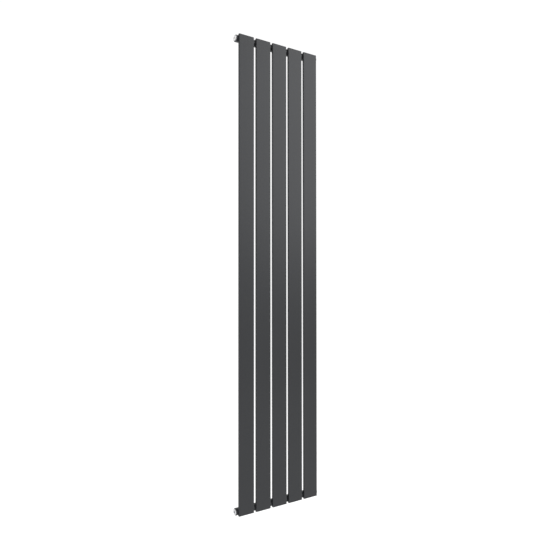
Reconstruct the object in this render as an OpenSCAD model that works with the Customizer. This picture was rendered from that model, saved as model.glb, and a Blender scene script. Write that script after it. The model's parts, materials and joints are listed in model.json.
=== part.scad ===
// Tall wall-hung water radiator: five flat steel panels on two round headers.
// +X is to the right seen from the front, +Y is towards the wall and +Z is up.
// The origin lies on the wall, in the middle of the rectangle of upper wall screws.

/* [Panels] */
// Height of the radiator over its panels
height = 1800; // [900:50:2000]
// Width of one flat panel tube
panel_w = 65; // [60:1:75]
// Thickness of one panel tube, front to back
panel_t = 9; // [8:0.5:12]
// Clear gap between two panels
panel_gap = 10; // [6:1:20]
// Outer radius of the panel tube's long edges
panel_edge_r = 2; // [1.5:0.25:3]
// Wall of the panel tube
panel_wall = 1.2; // [1:0.1:1.4]
// Thickness of the plate that closes a panel end
end_cap_t = 2; // [1.5:0.5:4]

/* [Headers] */
// Outer diameter of the header tubes (three-quarter-inch pipe)
header_d = 26.9; // [26:0.1:30]
// Wall of the header tubes
header_wall = 2; // [1.5:0.1:2.5]
// How deep a header sits in the saddle cut into the panels' backs
saddle_depth = 2.45; // [2:0.05:3]
// Free distance from the end of a panel to the outside of the header
header_margin = 0; // [0:1:20]
// How far a header end stands out past the outer panel
header_stub = 5.5; // [4:0.5:15]
// Diameter of the waterway from a header into a panel
port_d = 7; // [5:0.5:8]

/* [Tappings] */
// Bore of a threaded socket (inner diameter of a G 1/2 thread)
tapping_d = 18.63; // [18:0.01:19.5]
// Length of a threaded socket
socket_l = 18; // [16:1:24]
// Chamfer at the mouth of a threaded socket
tapping_chamfer = 1; // [0.5:0.1:1.5]

/* [Plugs] */
// Width across the flats of a plug's hexagon head
plug_head_af = 19.5; // [19:0.5:22]
// Thickness of a plug's hexagon head
plug_head_t = 2.6; // [2:0.1:5]
// Thickness of the sealing ring under a plug's head
plug_seal_t = 0.8; // [0.6:0.1:1.5]
// Length of a plug's threaded shank below the sealing ring
plug_shank_l = 12; // [11:1:14]
// Width across the flats of the key recess in the blanking plug
blank_key_af = 8; // [6:1:10]

/* [Air vent] */
// Outer diameter of the swivelling outlet ring
outlet_d = 14; // [13:0.5:15]
// Inner diameter of the swivelling outlet ring
outlet_bore_d = 9.2; // [8.5:0.1:10]
// Side of the bleed screw's square head
bleed_square = 5; // [4.5:0.1:5.5]
// Outer diameter of the bleed screw's thread
bleed_thread_d = 5.9; // [5.5:0.1:6.5]
// Play all round between parts that turn in one another
running_gap = 0.05; // [0.02:0.01:0.08]

/* [Wall fixing] */
// Distance from the wall to the middle of the header tubes
wall_to_header = 27; // [27:1:50]
// Height of the upper wall screw below the top of the panels, and above their bottom
fixing_from_end = 100; // [80:5:300]
// How far the brackets stand outwards from the middle of the last panel but one
bracket_offset = 1.5; // [0:0.5:15]
// Width of a wall bracket
bracket_w = 12; // [11:1:20]
// Sheet thickness of a wall bracket
bracket_t = 3; // [2.5:0.5:3.5]
// Diameter of a wall screw hole
screw_hole_d = 6; // [5:0.5:7]
// Width of a hanger bracket
hanger_w = 11; // [10:1:20]
// Sheet thickness of a hanger bracket
hanger_t = 2.5; // [2:0.5:3]

/* [Hidden] */

// Smoothness of round shapes, and how far a cutter runs past what it cuts
$fn = 96;
past = 1;

// Colours
anthracite = [0.33, 0.335, 0.345];
nickel = [0.78, 0.78, 0.8];
zinc = [0.66, 0.67, 0.69];
seal_black = [0.08, 0.08, 0.08];
outlet_white = [0.88, 0.88, 0.86];
nylon_grey = [0.25, 0.25, 0.26];

// Sides and levels of the radiator
left = -1;
right = 1;
bottom = -1;
top = 1;

// Panels across the width
panel_count = 5;
panel_pitch = panel_w + panel_gap;
outer_panel_x = panel_pitch * (panel_count - 1) / 2;
half_width = outer_panel_x + panel_w / 2 + header_stub;

// Headers and panels front to back
header_r = header_d / 2;
header_y = -wall_to_header;
header_z = height / 2 - header_margin - header_r;
header_half_l = half_width - socket_l;
panel_back_y = header_y - header_r + saddle_depth;
panel_front_y = panel_back_y - panel_t;
inner_edge_r = max(panel_edge_r - panel_wall, 0.2);

// End caps: a spigot locates each cap in its tube
cap_spigot_l = 2;
cap_play = 0.05;
tube_half_l = height / 2 - end_cap_t;

// Plugs, measured outwards from the mouth of their socket
tapping_r = tapping_d / 2;
shank_r = tapping_r - 0.02;
seal_r = tapping_r + 1.8;
seal_edge_r = 0.25;
head_top = plug_seal_t + plug_head_t;
head_chamfer = 0.8;
blank_key_depth = 3.5;

// Air vent, measured outwards from the mouth of its socket
outlet_out = 0.5;
outlet_l = 4.8;
outlet_bottom = head_top + outlet_out - outlet_l;
gallery_l = 0.6;
vent_floor = outlet_bottom - gallery_l;
outlet_hole_d = 1.2;
outlet_edge = 0.5;
vent_seat = -9;
orifice_d = 2.5;
bleed_bore_r = bleed_thread_d / 2 + running_gap;
square_bottom = vent_floor + 0.4;
square_top = head_top - 0.2;
bleed_collar_r = 3.9;
bleed_tip_l = 1.2;
bleed_tip_r = 0.9;
bleed_root_r = 2.1;
bleed_tip_gap = 0.05;
ring_section_r = 0.38;
ring_mid_r = bleed_thread_d / 2 - ring_section_r;
groove_r = ring_mid_r - ring_section_r - running_gap;
groove_l = 2 * ring_section_r + 2 * running_gap;
ring_at = vent_seat + 3;

// Wall brackets: the lip of each one carries an isolator that the hanger hooks over
bracket_x = outer_panel_x - panel_pitch + bracket_offset;
screw_drop = 14;
screw_pitch = 24;
leg_l = 50;
shelf_up = screw_drop;
bend_in_r = 2;
bend_out_r = bend_in_r + bracket_t;
lip_h = 14;
isolator_depth = 12.4;
lip_in_isolator = 7.2;
isolator_from_shelf = 4;
isolator_roof = 2;
isolator_edge_r = 1;
hook_play = 0.3;
rest_gap = 0.1;
slot_play = 0.02;
hanger_in_y = panel_back_y + hanger_t;
isolator_front_y = hanger_in_y + hook_play;
isolator_back_y = isolator_front_y + isolator_depth;
lip_front_y = isolator_front_y + lip_in_isolator;
isolator_top = lip_h + isolator_roof;
hanger_under = isolator_top + rest_gap;
hanger_top = hanger_under + hanger_t;
hanger_foot = 20;
tongue_y = isolator_back_y + hook_play;
tongue_foot = 2;
hanger_bend_r = 1;

// Middle of panel number i, counted from the left
function panel_x(i) = (i - (panel_count + 1) / 2) * panel_pitch;

// Height of the top of a bracket's shelf at the top or bottom level
function shelf_z(level) = level * (height / 2 - fixing_from_end) + shelf_up;

// A rectangle with rounded corners, centred on the origin
module rounded_rectangle(w, d, r) {
    square([w - 2 * r, d], center = true);
    square([w, d - 2 * r], center = true);
    for (sx = [-1, 1], sy = [-1, 1]) {
        translate([sx * (w / 2 - r), sy * (d / 2 - r)]) circle(r = r);
    }
}

// A quarter of a bent strip round the centre, in the quadrant given by the two signs
module quarter_bend(centre, r_in, r_out, sign_y, sign_z) {
    translate(centre) intersection() {
        difference() {
            circle(r = r_out);
            circle(r = r_in);
        }
        translate([min(0, sign_y * r_out), min(0, sign_z * r_out)]) square(r_out);
    }
}

// Extrudes a profile drawn in Y and Z along X, centred on the given X
module along_x(x, w) {
    translate([x - w / 2, 0, 0]) rotate([90, 0, 90]) linear_extrude(w) children();
}

// Puts a fitting at a header end, with its +Z pointing out of the socket's mouth
module at_tapping(side, level) {
    translate([side * half_width, header_y, level * header_z]) rotate([0, side * 90, 0]) children();
}

// The outside of a header, as a cutter for the saddles in the panels
module header_outside(level) {
    translate([-half_width, header_y, level * header_z])
        rotate([0, 90, 0]) cylinder(r = header_r, h = 2 * half_width);
}

module panel_profile() {
    rounded_rectangle(panel_w, panel_t, panel_edge_r);
}

module panel_bore_profile(play) {
    rounded_rectangle(panel_w - 2 * (panel_wall + play), panel_t - 2 * (panel_wall + play), inner_edge_r);
}

// A flat hollow tube with a saddle for each header cut into its back
module panel(i) {
    color(anthracite) difference() {
        translate([panel_x(i), (panel_front_y + panel_back_y) / 2, -tube_half_l])
            linear_extrude(2 * tube_half_l) panel_profile();
        translate([panel_x(i), (panel_front_y + panel_back_y) / 2, -tube_half_l - past])
            linear_extrude(2 * (tube_half_l + past)) panel_bore_profile(0);
        header_outside(top);
        header_outside(bottom);
    }
}

// A plate that closes one end of a panel, with a spigot that locates it in the tube
module end_cap(i, level) {
    plate_z = level > 0 ? tube_half_l : -height / 2;
    spigot_z = level > 0 ? tube_half_l - cap_spigot_l : -tube_half_l;
    color(anthracite) translate([panel_x(i), (panel_front_y + panel_back_y) / 2, 0]) {
        translate([0, 0, plate_z]) linear_extrude(end_cap_t) panel_profile();
        translate([0, 0, spigot_z]) linear_extrude(cap_spigot_l) panel_bore_profile(cap_play);
    }
}

// A header tube with one waterway port into each panel
module header(level) {
    color(anthracite) translate([0, header_y, level * header_z]) difference() {
        rotate([0, 90, 0]) cylinder(r = header_r, h = 2 * header_half_l, center = true);
        rotate([0, 90, 0])
            cylinder(r = header_r - header_wall, h = 2 * (header_half_l + past), center = true);
        for (i = [1 : panel_count]) {
            translate([panel_x(i), 0, 0]) rotate([90, 0, 0]) cylinder(d = port_d, h = header_r + past);
        }
    }
}

// A threaded socket butt-welded to a header end, with a chamfered mouth
module socket(side, level) {
    color(anthracite) at_tapping(side, level) difference() {
        translate([0, 0, -socket_l]) cylinder(r = header_r, h = socket_l);
        translate([0, 0, -socket_l - past]) cylinder(r = tapping_r, h = socket_l + 2 * past);
        translate([0, 0, -tapping_chamfer])
            cylinder(r1 = tapping_r, r2 = tapping_r + tapping_chamfer, h = tapping_chamfer);
    }
}

// A hexagon head with its outer corners chamfered round
module hexagon_head() {
    corner_r = plug_head_af / 2 / cos(30);
    translate([0, 0, plug_seal_t]) intersection() {
        cylinder(r = corner_r, h = plug_head_t, $fn = 6);
        rotate_extrude() polygon([
            [0, 0],
            [corner_r + past, 0],
            [corner_r + past, plug_head_t - head_chamfer],
            [plug_head_af / 2 - head_chamfer, plug_head_t],
            [0, plug_head_t]
        ]);
    }
}

// A plug's threaded shank, as deep in the socket as the sealing ring allows
module plug_shank() {
    translate([0, 0, -plug_shank_l]) cylinder(r = shank_r, h = plug_shank_l + plug_seal_t);
}

// The flat sealing ring between a socket's mouth and a plug's head
module plug_seal(level) {
    color(seal_black) at_tapping(left, level) rotate_extrude()
        translate([(shank_r + seal_r) / 2, plug_seal_t / 2])
            rounded_rectangle(seal_r - shank_r, plug_seal_t, seal_edge_r);
}

// The air vent's body: a recess for the outlet ring, a bore for the bleed screw, and its seat
module vent_plug() {
    color(nickel) at_tapping(left, top) difference() {
        union() {
            hexagon_head();
            plug_shank();
        }
        translate([0, 0, vent_floor]) cylinder(r = outlet_d / 2 + running_gap, h = head_top + past - vent_floor);
        translate([0, 0, vent_seat]) cylinder(r = bleed_bore_r, h = vent_floor + past - vent_seat);
        translate([0, 0, -plug_shank_l - past]) cylinder(d = orifice_d, h = plug_shank_l + 2 * past + vent_seat);
    }
}

// The ring that swivels to point the outlet hole away from the wall
module vent_outlet() {
    color(outlet_white) at_tapping(left, top) translate([0, 0, outlet_bottom]) difference() {
        rotate_extrude() polygon([
            [outlet_bore_d / 2, 0],
            [outlet_d / 2, 0],
            [outlet_d / 2, outlet_l - outlet_edge],
            [outlet_d / 2 - outlet_edge, outlet_l],
            [outlet_bore_d / 2, outlet_l]
        ]);
        translate([0, (outlet_d + outlet_bore_d) / 4, -past]) cylinder(d = outlet_hole_d, h = outlet_l + 2 * past);
    }
}

// The bleed screw: square head, collar, thread with a groove for its seal, and sealing tip
module bleed_screw() {
    tip_at = vent_seat + bleed_tip_gap;
    color(nickel) at_tapping(left, top) {
        translate([0, 0, (square_bottom + square_top) / 2])
            cube([bleed_square, bleed_square, square_top - square_bottom], center = true);
        translate([0, 0, vent_floor]) cylinder(r = bleed_collar_r, h = square_bottom - vent_floor);
        difference() {
            translate([0, 0, tip_at + bleed_tip_l])
                cylinder(r = bleed_thread_d / 2, h = vent_floor - tip_at - bleed_tip_l);
            translate([0, 0, ring_at]) difference() {
                cylinder(r = bleed_thread_d, h = groove_l);
                translate([0, 0, -past]) cylinder(r = groove_r, h = groove_l + 2 * past);
            }
        }
        translate([0, 0, tip_at]) cylinder(r1 = bleed_tip_r, r2 = bleed_root_r, h = bleed_tip_l);
    }
}

// The round sealing ring in the bleed screw's groove
module bleed_screw_seal() {
    color(seal_black) at_tapping(left, top) translate([0, 0, ring_at + groove_l / 2])
        rotate_extrude() translate([ring_mid_r, 0]) circle(r = ring_section_r);
}

// The blanking plug, with a hexagon recess for its key
module blank_plug() {
    color(nickel) at_tapping(left, bottom) difference() {
        union() {
            hexagon_head();
            plug_shank();
        }
        translate([0, 0, head_top - blank_key_depth])
            cylinder(r = blank_key_af / 2 / cos(30), h = blank_key_depth + past, $fn = 6);
    }
}

// A bent strip welded to the back of a panel: foot, web and the tongue that hooks down
module hanger(side, level) {
    z = shelf_z(level);
    back_y = tongue_y + hanger_t;
    bend_r = hanger_bend_r + hanger_t;
    color(anthracite) along_x(side * bracket_x, hanger_w) translate([0, z]) {
        translate([panel_back_y, -hanger_foot])
            square([hanger_t, hanger_foot + hanger_top - bend_r]);
        translate([panel_back_y + bend_r, hanger_under])
            square([back_y - panel_back_y - 2 * bend_r, hanger_t]);
        translate([tongue_y, tongue_foot])
            square([hanger_t, hanger_top - bend_r - tongue_foot]);
        quarter_bend([panel_back_y + bend_r, hanger_top - bend_r], hanger_bend_r, bend_r, -1, 1);
        quarter_bend([back_y - bend_r, hanger_top - bend_r], hanger_bend_r, bend_r, 1, 1);
    }
}

// A bent strip screwed to the wall: leg, shelf and the lip that carries the radiator
module wall_bracket(side, level) {
    z = shelf_z(level);
    x = side * bracket_x;
    leg_end_r = bracket_w / 2;
    color(zinc) difference() {
        union() {
            along_x(x, bracket_w) translate([0, z]) {
                translate([-bracket_t, -leg_l + leg_end_r])
                    square([bracket_t, leg_l - leg_end_r - bend_out_r]);
                quarter_bend([-bend_out_r, -bend_out_r], bend_in_r, bend_out_r, 1, 1);
                translate([lip_front_y + bend_out_r, -bracket_t])
                    square([-bend_out_r - lip_front_y - bend_out_r, bracket_t]);
                quarter_bend([lip_front_y + bend_out_r, bend_in_r], bend_in_r, bend_out_r, -1, -1);
                translate([lip_front_y, bend_in_r]) square([bracket_t, lip_h - bend_in_r]);
            }
            translate([x, 0, z - leg_l + leg_end_r]) rotate([90, 0, 0])
                cylinder(r = leg_end_r, h = bracket_t);
        }
        for (drop = [screw_drop, screw_drop + screw_pitch]) {
            translate([x, past, z - drop]) rotate([90, 0, 0])
                cylinder(d = screw_hole_d, h = bracket_t + 2 * past);
        }
    }
}

// A plastic block pushed over a bracket's lip, which fills the hook of the hanger
module isolator(side, level) {
    z = shelf_z(level);
    block_h = isolator_top - isolator_from_shelf;
    color(nylon_grey) along_x(side * bracket_x, bracket_w) translate([0, z]) difference() {
        translate([(isolator_front_y + isolator_back_y) / 2, isolator_from_shelf + block_h / 2])
            rounded_rectangle(isolator_depth, block_h, isolator_edge_r);
        translate([lip_front_y - slot_play, isolator_from_shelf - past])
            square([bracket_t + 2 * slot_play, lip_h + slot_play - isolator_from_shelf + past]);
    }
}

panel(1);  // panel_1
panel(2);  // panel_2
panel(3);  // panel_3
panel(4);  // panel_4
panel(5);  // panel_5
end_cap(1, top);  // top_cap_1
end_cap(2, top);  // top_cap_2
end_cap(3, top);  // top_cap_3
end_cap(4, top);  // top_cap_4
end_cap(5, top);  // top_cap_5
end_cap(1, bottom);  // bottom_cap_1
end_cap(2, bottom);  // bottom_cap_2
end_cap(3, bottom);  // bottom_cap_3
end_cap(4, bottom);  // bottom_cap_4
end_cap(5, bottom);  // bottom_cap_5
header(top);  // top_header
header(bottom);  // bottom_header
socket(left, top);  // socket_top_left
socket(right, top);  // socket_top_right
socket(left, bottom);  // socket_bottom_left
socket(right, bottom);  // socket_bottom_right
vent_plug();
plug_seal(top);  // vent_plug_seal
vent_outlet();
bleed_screw();
bleed_screw_seal();
blank_plug();
plug_seal(bottom);  // blank_plug_seal
hanger(left, top);  // hanger_top_left
hanger(right, top);  // hanger_top_right
hanger(left, bottom);  // hanger_bottom_left
hanger(right, bottom);  // hanger_bottom_right
wall_bracket(left, top);  // bracket_top_left
wall_bracket(right, top);  // bracket_top_right
wall_bracket(left, bottom);  // bracket_bottom_left
wall_bracket(right, bottom);  // bracket_bottom_right
isolator(left, top);  // isolator_top_left
isolator(right, top);  // isolator_top_right
isolator(left, bottom);  // isolator_bottom_left
isolator(right, bottom);  // isolator_bottom_right
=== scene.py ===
"""Looks of a tall wall-hung radiator: satin powder coat, weld beads, plated plugs and wall brackets."""

import json
import math

import bmesh
import bpy
from mathutils import Euler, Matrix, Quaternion, Vector


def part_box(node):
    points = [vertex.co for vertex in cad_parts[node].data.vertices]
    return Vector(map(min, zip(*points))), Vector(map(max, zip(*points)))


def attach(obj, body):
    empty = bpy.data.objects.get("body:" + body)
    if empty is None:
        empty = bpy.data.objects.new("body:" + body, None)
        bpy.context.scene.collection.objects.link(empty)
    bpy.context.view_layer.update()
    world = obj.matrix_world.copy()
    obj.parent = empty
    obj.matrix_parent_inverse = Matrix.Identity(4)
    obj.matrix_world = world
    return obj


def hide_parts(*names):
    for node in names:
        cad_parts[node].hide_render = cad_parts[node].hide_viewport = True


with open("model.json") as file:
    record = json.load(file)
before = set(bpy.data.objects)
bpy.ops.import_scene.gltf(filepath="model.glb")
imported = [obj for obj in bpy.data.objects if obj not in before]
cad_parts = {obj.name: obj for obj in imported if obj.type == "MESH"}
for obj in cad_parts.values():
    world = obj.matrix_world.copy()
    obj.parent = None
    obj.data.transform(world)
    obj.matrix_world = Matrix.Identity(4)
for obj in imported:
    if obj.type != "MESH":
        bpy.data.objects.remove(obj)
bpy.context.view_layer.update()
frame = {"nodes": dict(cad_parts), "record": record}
NODES = frame["nodes"]

# ---------------------------------------------------------------------------------------------
# Sizes taken from the frame, in metres
# ---------------------------------------------------------------------------------------------
MM = 0.001
PANELS = range(1, 6)
LEVELS = {"top": 1, "bottom": -1}
SIDES = {"left": -1, "right": 1}

panel_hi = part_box("panel_1")[1]
BACK_Y, TUBE_TOP = panel_hi.y, panel_hi.z
TOP_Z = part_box("top_cap_1")[1].z
header_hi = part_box("top_header")[1]
mouth_lo, mouth_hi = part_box("socket_top_right")
HEADER_R = (mouth_hi.z - mouth_lo.z) / 2
HEADER_Y = (mouth_lo.y + mouth_hi.y) / 2
HEADER_Z = (mouth_lo.z + mouth_hi.z) / 2
HEADER_END = header_hi.x
MOUTH_X = mouth_hi.x

# ---------------------------------------------------------------------------------------------
# Sizes the frame doesn't give, in metres
# ---------------------------------------------------------------------------------------------
PANEL_EDGE_R = 2 * MM
CAP_EASE = 0.9 * MM
MOUTH_EASE = 0.5 * MM
MOUTH_CHAMFER = 1 * MM
CHAMFER_EXTRA = 0.3 * MM

# The G 1/2 pipe thread
THREAD_MINOR_R, THREAD_MAJOR_R, THREAD_PITCH = 9.315 * MM, 10.478 * MM, 1.814 * MM
THREAD_STOPS_SHORT = 2.5 * MM

# Weld beads: along the headers, round the socket joints, and down the hangers
HEADER_BEAD_R = 1.45 * MM
HEADER_BEAD_OUT = 3.6 * MM
HEADER_BEAD_LEAN = math.radians(17.5)
HEADER_BEAD_FROM_EDGE = 1.2 * MM
RING_BEAD_R = 0.55 * MM
RING_BEAD_HALF_W = 2.1 * MM
RING_BEAD_SUNK = 0.22 * MM
RING_BEAD_RIPPLES = 42
HANGER_BEAD_R = 1.9 * MM
HANGER_BEAD_FROM_FOOT = 1 * MM
HANGER_BEAD_FROM_TOP = 9 * MM


# ---------------------------------------------------------------------------------------------
# Camera, light and floor
# ---------------------------------------------------------------------------------------------
CAMERA_AT = Vector((-1.2060, -1.8116, -0.0358))
CAMERA_TURN = math.radians(33.848)
CAMERA_PITCH = math.radians(0.845)
CAMERA_ROLL = math.radians(-0.041)
LENS_MM = 35.833
FLOOR_HALF = 30
FLOOR_DROP = 0.6


def add_camera():
    camera = bpy.data.objects.new("camera", bpy.data.cameras.new("camera"))
    bpy.context.scene.collection.objects.link(camera)
    camera.location = CAMERA_AT
    aim = Euler((math.radians(90) + CAMERA_PITCH, 0, -CAMERA_TURN)).to_quaternion()
    camera.rotation_euler = (aim @ Quaternion((0, 0, 1), CAMERA_ROLL)).to_euler()
    camera.data.lens = LENS_MM
    camera.data.sensor_width = 36
    camera.data.clip_start = 0.05
    camera.data.clip_end = 200
    bpy.context.scene.camera = camera


def add_softbox(name, at, aim, size, power):
    light = bpy.data.lights.new(name, "AREA")
    light.shape = "RECTANGLE"
    light.size, light.size_y = size
    light.energy = power
    light_object = bpy.data.objects.new(name, light)
    light_object.location = at
    light_object.rotation_euler = (Vector(aim) - Vector(at)).to_track_quat("-Z", "Y").to_euler()
    bpy.context.scene.collection.objects.link(light_object)


def add_studio():
    world = bpy.data.worlds.new("studio")
    world.use_nodes = True
    world.node_tree.nodes["Background"].inputs["Color"].default_value = (1.0, 1.0, 1.0, 1)
    world.node_tree.nodes["Background"].inputs["Strength"].default_value = 1.035
    bpy.context.scene.world = world
    bpy.context.scene.view_settings.view_transform = "Standard"
    bpy.context.scene.view_settings.look = "None"
    add_softbox("high_softbox", at=(3.0, -3.0, 1.85), aim=(0, 0, 0.2), size=(3.2, 3.4), power=79)
    add_softbox("left_softbox", at=(-3.2, -0.9, -0.1), aim=(0, 0, -0.1), size=(1.5, 3.0), power=18)
    add_softbox("overhead_softbox", at=(0, -0.6, 4.5), aim=(0, -0.6, 0), size=(6.0, 6.0), power=42)


def add_floor():
    half, z = FLOOR_HALF, -TOP_Z - FLOOR_DROP
    mesh = bpy.data.meshes.new("floor")
    corners = [(-half, -half, z), (half, -half, z), (half, half, z), (-half, half, z)]
    mesh.from_pydata(corners, [], [(0, 1, 2, 3)])
    floor = bpy.data.objects.new("floor", mesh)
    bpy.context.scene.collection.objects.link(floor)
    mat = bpy.data.materials.new("pale_floor")
    mat.use_nodes = True
    shader = mat.node_tree.nodes["Principled BSDF"]
    shader.inputs["Base Color"].default_value = (0.99, 0.99, 0.99, 1)
    shader.inputs["Roughness"].default_value = 0.9
    shader.inputs["Specular IOR Level"].default_value = 0.1
    mesh.materials.append(mat)


# ---------------------------------------------------------------------------------------------
# Materials
# ---------------------------------------------------------------------------------------------
class Painter:
    """Builds one procedural material, node by node."""

    def __init__(self, name):
        self.material = bpy.data.materials.new(name)
        self.material.use_nodes = True
        self.tree = self.material.node_tree
        self.shader = self.tree.nodes["Principled BSDF"]
        self.coords = self.node("ShaderNodeTexCoord").outputs["Object"]

    def node(self, kind, **values):
        made = self.tree.nodes.new(kind)
        for key, value in values.items():
            if key in made.inputs:
                made.inputs[key].default_value = value
            else:
                setattr(made, key, value)
        return made

    def link(self, out, into):
        self.tree.links.new(out, into)

    def noise(self, scale, detail=3.0, roughness=0.5, stretch=(1, 1, 1)):
        mapping = self.node("ShaderNodeMapping")
        mapping.inputs["Scale"].default_value = stretch
        self.link(self.coords, mapping.inputs["Vector"])
        made = self.node("ShaderNodeTexNoise")
        made.inputs["Scale"].default_value = scale
        made.inputs["Detail"].default_value = detail
        made.inputs["Roughness"].default_value = roughness
        self.link(mapping.outputs["Vector"], made.inputs["Vector"])
        return made.outputs["Fac"]

    def ramp(self, value, stops):
        made = self.node("ShaderNodeValToRGB")
        elements = made.color_ramp.elements
        elements[0].position, elements[0].color = stops[0][0], (*stops[0][1], 1)
        elements[1].position, elements[1].color = stops[-1][0], (*stops[-1][1], 1)
        for position, colour in stops[1:-1]:
            elements.new(position).color = (*colour, 1)
        self.link(value, made.inputs["Fac"])
        return made.outputs["Color"]

    def remap(self, value, low, high, from_low=0.3, from_high=0.7):
        made = self.node("ShaderNodeMapRange")
        made.inputs["From Min"].default_value = from_low
        made.inputs["From Max"].default_value = from_high
        made.inputs["To Min"].default_value = low
        made.inputs["To Max"].default_value = high
        self.link(value, made.inputs["Value"])
        return made.outputs["Result"]

    def bump(self, height, distance, strength=1.0, under=None):
        made = self.node("ShaderNodeBump")
        made.inputs["Strength"].default_value = strength
        made.inputs["Distance"].default_value = distance
        self.link(height, made.inputs["Height"])
        if under is not None:
            self.link(under, made.inputs["Normal"])
        return made.outputs["Normal"]

    def set(self, **values):
        for key, value in values.items():
            self.shader.inputs[key.replace("_", " ")].default_value = value

    def feed(self, **links):
        for key, out in links.items():
            self.link(out, self.shader.inputs[key.replace("_", " ")])


def grey(value, warm=0.0):
    return (value * (1 + warm), value, value * (1 - warm))


def powder_coat():
    """Satin anthracite powder coat: orange peel, a fine grit and faint shade differences."""
    p = Painter("powder_coat")
    shade = p.noise(3.0, 2.0)
    grit = p.noise(1400.0, 2.0, 0.6)
    peel = p.noise(260.0, 2.0, 0.5)
    p.set(Metallic=0.0, IOR=1.45)
    p.shader.inputs["Specular IOR Level"].default_value = 0.385
    p.shader.inputs["Specular Tint"].default_value = (0.96, 0.975, 1.0, 1)
    p.feed(Base_Color=p.ramp(shade, [(0.3, (0.0164, 0.0171, 0.0186)), (0.7, (0.0182, 0.0190, 0.0206))]))
    p.feed(Roughness=p.remap(grit, 0.30, 0.38))
    fine = p.bump(grit, 0.01 * MM)
    p.feed(Normal=p.bump(peel, 0.03 * MM, under=fine))
    return p.material


def nickel_plate(name, dark, light):
    """Nickel plate over turned brass: rings from turning, and faint smudges."""
    p = Painter(name)
    rings = p.node("ShaderNodeTexWave", wave_type="RINGS", rings_direction="X")
    rings.inputs["Scale"].default_value = 700.0
    rings.inputs["Distortion"].default_value = 0.6
    p.link(p.coords, rings.inputs["Vector"])
    smudge = p.noise(240.0, 3.0)
    p.set(Metallic=1.0)
    p.feed(Base_Color=p.ramp(smudge, [(0.3, dark), (0.7, light)]))
    p.feed(Roughness=p.remap(smudge, 0.26, 0.38))
    p.feed(Normal=p.bump(rings.outputs["Fac"], 0.004 * MM))
    return p.material


def zinc_plate():
    """Bright zinc plate on rolled strip: brushed along the strip, with cloudy patches."""
    p = Painter("zinc_plate")
    brushed = p.noise(900.0, 2.0, stretch=(1, 0.06, 0.06))
    cloud = p.noise(90.0, 4.0)
    p.set(Metallic=1.0)
    p.feed(Base_Color=p.ramp(cloud, [(0.3, (0.44, 0.455, 0.49)), (0.7, (0.56, 0.565, 0.58))]))
    p.feed(Roughness=p.remap(cloud, 0.30, 0.46))
    p.feed(Normal=p.bump(brushed, 0.006 * MM))
    return p.material


def moulded(name, dark, light, rough, grain=0.01):
    """A moulded plastic or rubber with a fine spark-eroded grain."""
    p = Painter(name)
    cloud = p.noise(150.0, 3.0)
    fine = p.noise(2600.0, 2.0)
    p.set(Metallic=0.0)
    p.feed(Base_Color=p.ramp(cloud, [(0.3, dark), (0.7, light)]))
    p.feed(Roughness=p.remap(fine, *rough))
    p.feed(Normal=p.bump(fine, grain * MM))
    return p.material


def bare_steel():
    """Cut thread left unpainted: bright steel with tool marks round the bore and a thin oily tint."""
    p = Painter("bare_steel")
    tint = p.noise(160.0, 4.0)
    marks = p.noise(1500.0, 2.0, stretch=(1, 0.2, 0.2))
    p.set(Metallic=1.0)
    p.feed(Base_Color=p.ramp(tint, [(0.3, (0.30, 0.295, 0.285)), (0.7, (0.42, 0.415, 0.405))]))
    p.feed(Roughness=p.remap(marks, 0.26, 0.42))
    p.feed(Normal=p.bump(marks, 0.006 * MM))
    return p.material


MATERIALS = {
    "bare_steel": bare_steel(),
    "powder_coat": powder_coat(),
    "nickel_plate": nickel_plate("nickel_plate", (0.53, 0.535, 0.55), (0.59, 0.595, 0.61)),
    "nickel_brass": nickel_plate("nickel_brass", (0.55, 0.535, 0.51), (0.61, 0.595, 0.57)),
    "zinc_plate": zinc_plate(),
    "nylon": moulded("nylon", grey(0.040), grey(0.052), (0.5, 0.62), 0.02),
    "white_plastic": moulded("white_plastic", grey(0.74, 0.01), grey(0.80, 0.01), (0.32, 0.42)),
    "black_rubber": moulded("black_rubber", grey(0.016), grey(0.024), (0.6, 0.75), 0.02),
}


# ---------------------------------------------------------------------------------------------
# Mesh building
# ---------------------------------------------------------------------------------------------
def loft(rings, loop=False, ends=True):
    """Vertices and faces of a skin over closed rings of equally many points."""
    count = len(rings[0])
    vertices = [point for ring in rings for point in ring]
    faces = []
    for i in range(len(rings) - (0 if loop else 1)):
        here, there = i * count, (i + 1) % len(rings) * count
        for j in range(count):
            k = (j + 1) % count
            faces.append((here + j, here + k, there + k, there + j))
    if ends and not loop:
        faces.append(tuple(range(count)))
        faces.append(tuple(range(len(vertices) - count, len(vertices))))
    return vertices, faces


def joined(parts):
    """Several (vertices, faces) pairs as one."""
    vertices, faces = [], []
    for some_vertices, some_faces in parts:
        start = len(vertices)
        vertices += some_vertices
        faces += [tuple(start + i for i in face) for face in some_faces]
    return vertices, faces


def add_piece(name, shape, material, body="radiator", replaces=(), sharp=38):
    """A smooth-shaded mesh piece that rides on a body, with its sharp edges kept."""
    mesh = bpy.data.meshes.new(name)
    mesh.from_pydata(shape[0], [], shape[1])
    sculpt = bmesh.new()
    sculpt.from_mesh(mesh)
    bmesh.ops.recalc_face_normals(sculpt, faces=sculpt.faces)
    for face in sculpt.faces:
        face.smooth = True
    for edge in sculpt.edges:
        edge.smooth = edge.calc_face_angle(0) < math.radians(sharp)
    sculpt.to_mesh(mesh)
    sculpt.free()
    mesh.materials.append(material)
    piece = bpy.data.objects.new(name, mesh)
    bpy.context.scene.collection.objects.link(piece)
    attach(piece, body)
    if replaces:
        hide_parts(*replaces)
    return piece


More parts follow.
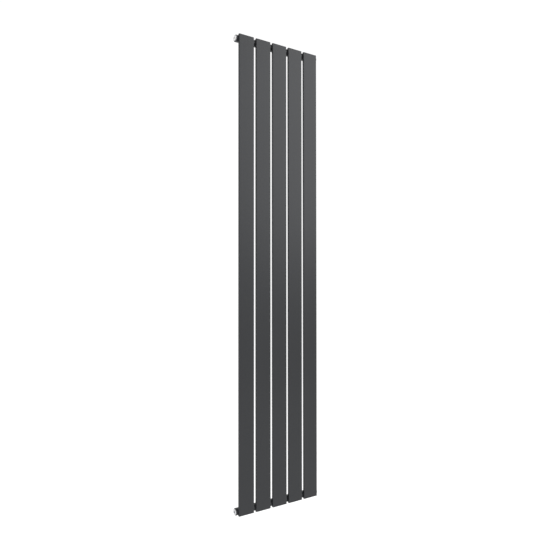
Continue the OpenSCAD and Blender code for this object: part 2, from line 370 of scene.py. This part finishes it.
def rounded_outline(centre, half, radius, inset, steps=10):
    """Points round a rectangle with rounded corners, all moved in by the same inset."""
    points = []
    for corner, (sx, sy) in enumerate(((1, 1), (-1, 1), (-1, -1), (1, -1))):
        cx = centre[0] + sx * (half[0] - radius)
        cy = centre[1] + sy * (half[1] - radius)
        for i in range(steps + 1):
            angle = math.radians(90) * (corner + i / steps)
            reach = radius - inset
            points.append((cx + reach * math.cos(angle), cy + reach * math.sin(angle)))
    return points


# ---------------------------------------------------------------------------------------------
# Pieces
# ---------------------------------------------------------------------------------------------
def add_end_caps():
    """Each panel end: a plate welded on and ground flush, its outer edge eased all round."""
    steps = 6
    for level, up in LEVELS.items():
        for i in PANELS:
            node = f"{level}_cap_{i}"
            low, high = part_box(node)
            centre = ((low.x + high.x) / 2, (low.y + high.y) / 2)
            half = ((high.x - low.x) / 2, (high.y - low.y) / 2)
            outline = rounded_outline(centre, half, PANEL_EDGE_R, 0)
            rings = [[(x, y, up * TUBE_TOP) for x, y in outline]]
            for k in range(steps + 1):
                angle = math.radians(90) * k / steps
                z = up * (TOP_Z - CAP_EASE + CAP_EASE * math.sin(angle))
                inset = CAP_EASE * (1 - math.cos(angle))
                outline = rounded_outline(centre, half, PANEL_EDGE_R, inset)
                rings.append([(x, y, z) for x, y in outline])
            ground = f"{node}_ground"
            add_piece(ground, loft(rings), MATERIALS["powder_coat"], replaces=[node])


def ripple(along, pitch=1.9 * MM):
    """How far a weld bead swells at a distance along it: low, then a quick rise, over and over."""
    phase = along / pitch % 1
    return 1 + 0.07 * (phase ** 2 - 0.4)


def bead(start, end, radius, steps_per_mm=2.1, sides=10):
    """A straight weld bead with its ripples, drawn out at both ends. It runs along X or Z."""
    run = Vector(end) - Vector(start)
    length = run.length
    direction = run / length
    side = Vector((0, 1, 0))
    other = direction.cross(side)
    rings = []
    count = int(length / MM * steps_per_mm)
    for i in range(count + 1):
        along = length * i / count
        from_end = min(along, length - along)
        taper = math.sqrt(min(1, from_end / (1.6 * radius) + 0.04))
        wander = 0.06 * radius * math.sin(along / (4.3 * MM))
        wander += 0.04 * radius * math.sin(along / (1.7 * MM) + 1)
        size = radius * ripple(along) * taper
        middle = Vector(start) + direction * along + other * wander
        ring = []
        for j in range(sides):
            angle = 2 * math.pi * j / sides
            offset = side * math.cos(angle) + other * math.sin(angle)
            ring.append(tuple(middle + offset * size))
        rings.append(ring)
    return loft(rings)


def ring_bead(x, centre_z, steps=168, sides=8):
    """A flat butt weld all round a header tube."""
    rings = []
    for i in range(steps):
        turn = 2 * math.pi * i / steps
        swell = ripple(turn * HEADER_R, 2 * math.pi * HEADER_R / RING_BEAD_RIPPLES)
        ring = []
        for j in range(sides):
            angle = 2 * math.pi * j / sides
            out = HEADER_R - RING_BEAD_SUNK + RING_BEAD_R * swell * math.sin(angle)
            along = x + RING_BEAD_HALF_W * swell * math.cos(angle)
            ring.append((along, HEADER_Y + out * math.cos(turn), centre_z + out * math.sin(turn)))
        rings.append(ring)
    return loft(rings, loop=True)


def add_welds():
    """The fillets between headers and panels, the butt welds at the sockets, and the hangers' fillets."""
    seat = HEADER_Y - BACK_Y
    rise = math.sqrt(HEADER_R ** 2 - seat ** 2)
    bead_y = BACK_Y + HEADER_BEAD_OUT * math.sin(HEADER_BEAD_LEAN)
    bead_out = rise + HEADER_BEAD_OUT * math.cos(HEADER_BEAD_LEAN)
    for level, up in LEVELS.items():
        beads = []
        for i in PANELS:
            low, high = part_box(f"panel_{i}")
            for outward in (1, -1):
                z = up * HEADER_Z + outward * bead_out
                start = (low.x + HEADER_BEAD_FROM_EDGE, bead_y, z)
                end = (high.x - HEADER_BEAD_FROM_EDGE, bead_y, z)
                beads.append(bead(start, end, HEADER_BEAD_R))
        beads += [ring_bead(side * HEADER_END, up * HEADER_Z) for side in SIDES.values()]
        add_piece(f"{level}_header_welds", joined(beads), MATERIALS["powder_coat"])
        fillets = []
        for side in SIDES:
            low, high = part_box(f"hanger_{level}_{side}")
            for x in (low.x, high.x):
                foot = (x, BACK_Y, low.z + HANGER_BEAD_FROM_FOOT)
                head = (x, BACK_Y, high.z - HANGER_BEAD_FROM_TOP)
                fillets.append(bead(foot, head, HANGER_BEAD_R))
        add_piece(f"{level}_hanger_welds", joined(fillets), MATERIALS["powder_coat"])


def add_threaded_sockets():
    """The open right-hand sockets, with a real pipe thread that runs out inside and a masked, bare bore."""
    around, per_pitch = 72, 8
    length = MOUTH_X - HEADER_END
    rows = int(length / THREAD_PITCH * per_pitch)
    depth = THREAD_MAJOR_R - THREAD_MINOR_R
    for level, up in LEVELS.items():
        z_mid = up * HEADER_Z

        def ring(x, radius_at):
            points = []
            for j in range(around):
                turn = 2 * math.pi * j / around
                radius = radius_at(turn)
                points.append((x, HEADER_Y + radius * math.cos(turn), z_mid + radius * math.sin(turn)))
            return points

        rings = [ring(HEADER_END, lambda turn: HEADER_R)]
        for k in range(5):
            angle = math.radians(90) * k / 4
            x = MOUTH_X - MOUTH_EASE + MOUTH_EASE * math.sin(angle)
            outer_r = HEADER_R - MOUTH_EASE * (1 - math.cos(angle))
            rings.append(ring(x, lambda turn, outer_r=outer_r: outer_r))
        outside = len(rings)
        for row in range(rows + 1):
            back = length * row / rows
            x = MOUTH_X - back
            run_out = min(1, max(0, (length - THREAD_STOPS_SHORT - back) / (2 * THREAD_PITCH)))
            chamfer = THREAD_MINOR_R + max(0, MOUTH_CHAMFER + CHAMFER_EXTRA - back)

            def radius_at(turn, x=x, run_out=run_out, chamfer=chamfer):
                wave = 0.5 - 0.5 * math.cos(2 * math.pi * (x / THREAD_PITCH - turn / (2 * math.pi)))
                return max(chamfer, THREAD_MINOR_R + depth * run_out * wave)

            rings.append(ring(x, radius_at))
        node = f"socket_{level}_right"
        vertices, faces = loft(rings, loop=True)
        piece = add_piece(
            f"{node}_threaded", (vertices, faces), MATERIALS["powder_coat"],
            replaces=[node], sharp=50,
        )
        piece.data.materials.append(MATERIALS["bare_steel"])
        for number, face in enumerate(piece.data.polygons):
            ring_number = number // around
            if outside <= ring_number < outside + rows:
                face.material_index = 1


def soften(node, width, segments=3):
    """Rounds a CAD node's sharp edges a little, as a modifier."""
    weld = node.modifiers.new("weld", "WELD")
    weld.merge_threshold = 0.01 * MM
    flats = node.modifiers.new("flats", "DECIMATE")
    flats.decimate_type = "DISSOLVE"
    flats.angle_limit = math.radians(0.5)
    bevel = node.modifiers.new("eased_edges", "BEVEL")
    bevel.width = width
    bevel.segments = segments
    bevel.limit_method = "ANGLE"
    bevel.angle_limit = math.radians(35)
    bevel.harden_normals = True
    normals = node.modifiers.new("normals", "WEIGHTED_NORMAL")
    normals.keep_sharp = True


EASED_MM = {"bracket": 0.45, "hanger": 0.45, "isolator": 0.3, "vent_plug": 0.2, "blank_plug": 0.2,
            "bleed_screw": 0.10, "socket": 0.4}


def dress_nodes():
    """Gives every CAD node its material, and the fittings soft edges."""
    slots = {s["node"]: s["material_slot"] for s in frame["record"]["subparts"]}
    for name, node in NODES.items():
        node.data.materials.clear()
        node.data.materials.append(MATERIALS[slots[name]])
        if node.hide_render or name.endswith("seal"):
            continue
        for family, width in EASED_MM.items():
            if name.startswith(family):
                soften(node, width * MM)
                break


# ---------------------------------------------------------------------------------------------
# Build
# ---------------------------------------------------------------------------------------------
add_camera()
add_studio()
add_floor()
add_end_caps()
add_threaded_sockets()
add_welds()
dress_nodes()
